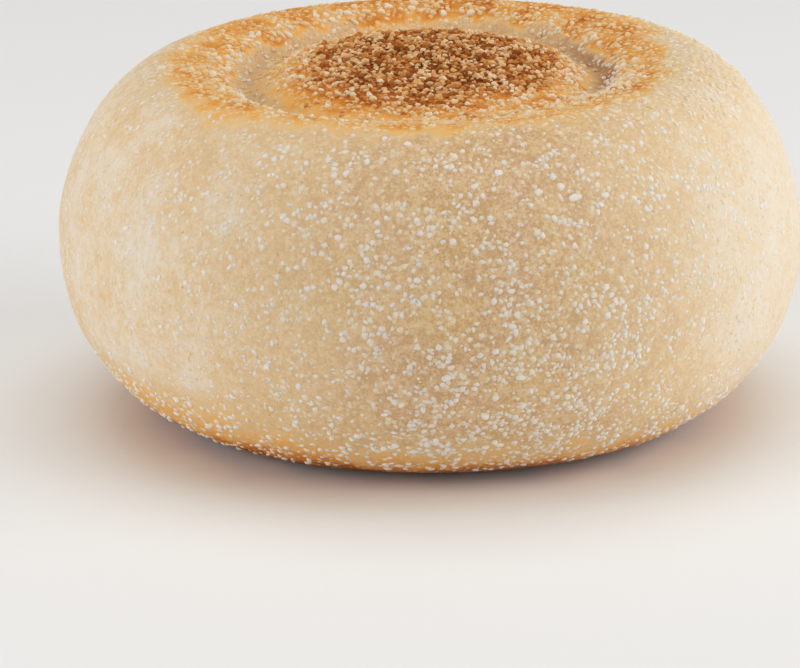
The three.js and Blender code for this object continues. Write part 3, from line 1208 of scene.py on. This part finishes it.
@dataclass(frozen=True)
class LargestGrits:
    """The largest grits, which are part of the solid: the same grains in the same places."""

    length: float = 1.15
    width: float = 0.88
    thickness: float = 0.56
    size_spread: float = 0.2
    sunk: float = 0.16
    gap: float = 1.9
    front: float = math.radians(-82)
    seed: int = 20817
    shape: Nugget = Nugget(rounded=False, crag=0.22)
    step: float = 0.01  # along and round the skin, to find its normal
    turn_strays: float = 0.3
    shuffling: float = 7.31
    tones: tuple = ((Zone.UPPER_SIDE, 0.08), (Zone.LOWER_SIDE, 0.06), (Zone.TOP, 0.3))
    dome_tone: float = 0.45
    dome_from: float = 0.4
    fields: tuple = (  # zone, shares of it between which they lie, count, and how far they draw to the front
        (Zone.TOP, 0.45, 1, 68, 0),
        (Zone.TOP, 0.04, 0.27, 26, 0),
        (Zone.UPPER_SIDE, 0.05, 0.85, 30, 0.55),
        (Zone.LOWER_SIDE, 0.4, 0.98, 36, 0.55),
        (Zone.LOWER_SIDE, 0.14, 0.38, 30, 0.15),
    )

    def chances(self) -> Iterator[float]:
        """Draws the solid's seeded random numbers.

        Returns:
            The numbers, in their order, from 0 to 1.
        """
        state, whole = self.seed, 0xFFFFFFFF
        while True:
            state = (state + 0x6D2B79F5) & whole
            mixed = ((state ^ (state >> 15)) * (1 | state)) & whole
            mixed = (mixed + (mixed ^ (mixed >> 7)) * (61 | mixed)) & whole ^ mixed
            yield (mixed ^ (mixed >> 14)) / 2**32

    def drawn_to_front(self, angle: float, focus: float) -> float:
        """Draws an angle towards the front by a share, from 0, none, to 1, all the way."""
        signed = (angle - self.front + math.pi) % FULL_TURN - math.pi
        return self.front + signed * (1 - focus * math.cos(signed / 2) ** 2)

    def skin_at(self, form: LoafForm, zone: Zone, share: float, angle: float) -> tuple[Vector, Vector]:
        """Finds a point of the skin.

        Args:
            form: The loaf.
            zone: A stretch of its outline.
            share: How far along that stretch.
            angle: Angle round the axis.

        Returns:
            The point, and the normal there.
        """
        inside = min(share, 1 - self.step)
        shares = np.array([share, inside, inside + self.step, inside])
        angles = np.array([angle, angle, angle, angle + self.step])
        point, here, along, round_it = map(Vector, form.skin(*form.outline(zone, shares), angles))
        return point, (round_it - here).cross(along - here).normalized()

    def build(self, form: LoafForm, material: bpy.types.Material) -> bpy.types.Object:
        """Makes the piece and dresses it.

        Args:
            form: The loaf.
            material: The grits' finish.

        Returns:
            The piece.
        """
        chances = self.chances()
        middles, normals, firsts, sizes, strays, tones, taken = [], [], [], [], [], [], []
        golden_angle = math.pi * (3 - math.sqrt(5))
        for zone, start, end, count, focus in self.fields:
            for i in range(count):
                even = (i + 0.5) / count
                if zone is Zone.TOP:
                    share = 1 - math.sqrt((1 - end) ** 2 + even * ((1 - start) ** 2 - (1 - end) ** 2))
                else:
                    share = start + (end - start) * ((even * self.shuffling) % 1)
                angle = self.drawn_to_front(i * golden_angle + self.turn_strays * next(chances), focus)
                point, normal = self.skin_at(form, zone, share, angle)
                if any((other - point).length < self.gap for other in taken):
                    continue
                taken.append(point)
                size = 1 + self.size_spread * (2 * next(chances) - 1)
                strays.append([2 * next(chances) - 1 for _ in range(CORNERS)])
                turn = next(chances) * FULL_TURN
                lie = Vector((0, 0, 1)).rotation_difference(normal)
                middles.append(point - normal * (self.sunk * self.thickness * size))
                normals.append(normal)
                firsts.append(lie @ Vector((math.cos(turn), math.sin(turn), 0)))
                sizes.append((self.length * size, self.width * size, self.thickness * size))
                on_dome = zone is Zone.TOP and share > self.dome_from
                tones.append(self.dome_tone if on_dome else dict(self.tones)[zone])
        grains, sides = self.shape.grains(np.array(sizes), np.array(strays))
        points, faces = laid_down(grains, sides, *(np.array(part) for part in (middles, normals, firsts)))
        marks = {"tone": np.repeat(tones, len(points) // len(tones))}
        piece = write_mesh("semolina_largest", points, faces, marks, material, smooth=False)
        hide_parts(NODE)
        return piece


@dataclass(frozen=True)
class SoftBox:
    """A large soft studio light that faces the muffin. Metres and watts."""

    name: str
    at: tuple[float, float, float]
    size: float
    power: float
    aim: tuple[float, float, float] = (0, 0, 0.02)

    def build(self) -> None:
        """Makes the light."""
        light = bpy.data.lights.new(self.name, "AREA")
        light.shape = "SQUARE"
        light.size = self.size
        light.energy = self.power
        lamp = bpy.data.objects.new(self.name, light)
        lamp.location = self.at
        lamp.rotation_mode = "QUATERNION"
        lamp.rotation_quaternion = (Vector(self.aim) - lamp.location).to_track_quat("-Z", "Y")
        bpy.context.scene.collection.objects.link(lamp)


@dataclass(frozen=True)
class Studio:
    """A pale seamless floor, white surroundings, soft lights and the camera."""

    floor: str = "#f4f3f1"
    floor_half: float = 3.0
    floor_roughness: float = 0.9
    floor_gap: float = 0.0001  # under the muffin, so that their faces never fight
    surroundings: float = 0.31
    lights: tuple[SoftBox, ...] = (
        SoftBox("soft_box_left", (-0.7, -0.28, 0.16), 0.6, 3.4),
        SoftBox("soft_box_right", (0.72, -0.17, 0.26), 0.6, 3.7),
        SoftBox("soft_box_above", (0.0, 0.1, 0.9), 0.8, 3.4),
    )
    distance: float = 0.540  # from the camera to the middle of the muffin's widest ring
    elevation: float = 16.0
    roll: float = -0.01
    focal: float = 4420.0  # in pixels of the 800 wide picture
    picture: tuple[int, int] = (800, 668)
    middle_at: tuple[float, float] = (431.3, 227.8)  # where the middle of the widest ring shows
    sensor: float = 36.0

    def camera(self, form: LoafForm) -> None:
        """Makes the camera.

        Args:
            form: The loaf, whose widest ring it aims at.
        """
        data = bpy.data.cameras.new("camera")
        data.sensor_width = self.sensor
        data.lens = self.focal * self.sensor / self.picture[0]
        tilt = math.radians(self.elevation)
        ahead = Vector((0, math.cos(tilt), -math.sin(tilt)))
        aim = Vector((*form.axis_at, form.widest_at)) * METRES
        across = Vector((1, 0, 0))
        straight = Matrix((across, across.cross(ahead), -ahead)).transposed()
        right, up = self.middle_at[0] - self.picture[0] / 2, self.picture[1] / 2 - self.middle_at[1]
        offset = Vector((right, up, -self.focal))
        off_centre = offset.rotation_difference(Vector((0, 0, -1))).to_matrix()
        turn = straight @ Matrix.Rotation(self.roll, 3, "Z") @ off_centre
        camera = bpy.data.objects.new("camera", data)
        camera.matrix_world = Matrix.Translation(aim - ahead * self.distance) @ turn.to_4x4()
        bpy.context.scene.collection.objects.link(camera)
        bpy.context.scene.camera = camera

    def build(self, form: LoafForm) -> None:
        """Makes the floor, the surroundings, the lights and the camera.

        Args:
            form: The loaf.
        """
        material = bpy.data.materials.new("matt_board")
        material.use_nodes = True
        shader = material.node_tree.nodes["Principled BSDF"]
        shader.inputs["Base Color"].default_value = linear(self.floor)
        shader.inputs["Roughness"].default_value = self.floor_roughness
        mesh = bpy.data.meshes.new("floor")
        half = self.floor_half
        corners = [(-half, -half, 0), (half, -half, 0), (half, half, 0), (-half, half, 0)]
        mesh.from_pydata(corners, [], [range(4)])
        mesh.materials.append(material)
        floor = bpy.data.objects.new("floor", mesh)
        floor.location.z = -self.floor_gap
        bpy.context.scene.collection.objects.link(floor)
        world = bpy.data.worlds.new("surroundings")
        world.use_nodes = True
        background = world.node_tree.nodes["Background"]
        background.inputs["Color"].default_value = (1, 1, 1, 1)
        background.inputs["Strength"].default_value = self.surroundings
        bpy.context.scene.world = world
        bpy.context.scene.view_settings.view_transform = "Standard"
        for light in self.lights:
            light.build()
        self.camera(form)


@dataclass(frozen=True)
class Muffin:
    """The whole muffin: its crust and the semolina on it."""

    crust: Crust
    grain: Semolina = Semolina()
    largest: LargestGrits = LargestGrits()
    dustings: tuple[Dusting, ...] = (
        Dusting(
            Place.SIDE, 1380, (0.55, 1.35), 0.5, (0.33, 0.44), (0.14, 0.58), 101, Chip(),
            flatness=(0.22, 0.32), cluster=0.88, cluster_size=4.6, leaning=(0.6, 1.2),
        ),
        Dusting(
            Place.BURIED, 2300, (0.5, 1.2), 0.5, (0.4, 0.46), (0.3, 0.85), 151, Chip(), flatness=(0.22, 0.32)
        ),
        Dusting(
            Place.DOME, 1950, (0.6, 1.35), 0.55, (0.0, 0.28), (0.18, 1.08), 202, Nugget(rounded=False),
            flatness=(0.75, 1.05), cluster=0.45, cluster_size=3.5, leaning=(0.65, 0.65),
            toasting=(0.33, 0.74), smooth=False,
        ),
        Dusting(
            Place.RIM, 1900, (0.7, 1.4), 0.65, (0.18, 0.4), (0.35, 0.9), 303,
            flatness=(0.65, 0.9), cluster=0.75, cluster_size=2.4, drift_size=2.2,
        ),
        Dusting(
            Place.LIP, 250, (0.8, 1.5), 0.8, (0.05, 0.28), (0.15, 0.7), 353,
            flatness=(0.75, 0.95), cluster=0.3,
        ),
        Dusting(
            Place.FOOT_EDGE, 1050, (0.8, 1.5), 0.75, (0.2, 0.38), (0.1, 0.32), 404,
            flatness=(0.6, 0.85), cluster=0.85, cluster_size=3.2,
        ),
        Dusting(Place.UNDERSIDE, 700, (0.55, 1.15), 0.7, (0.3, 0.5), (0.1, 0.6), 505),
        Dusting(
            Place.DUST, 5000, (0.5, 1.15), 0.5, (0.37, 0.45), (0.0, 0.95), 606, Chip(),
            flatness=(0.26, 0.36), cluster=0.75, cluster_size=3.5, leaning=(0.6, 0.9),
        ),
    )

    def build(self) -> None:
        """Makes every piece and reports it."""
        pieces = [self.crust.build()]
        grain = self.grain.material()
        pieces.append(self.largest.build(self.crust.form, grain))
        pieces += [dusting.build(self.crust, grain) for dusting in self.dustings]
        for piece in pieces:
            log.info("%s: %d faces", piece.name, len(piece.data.polygons))


def main() -> None:
    """Builds the studio and the muffin."""
    logging.basicConfig(level=logging.INFO, format="%(message)s")
    crust = Crust()
    Studio().build(crust.form)
    Muffin(crust).build()


if __name__ == "__main__":
    main()
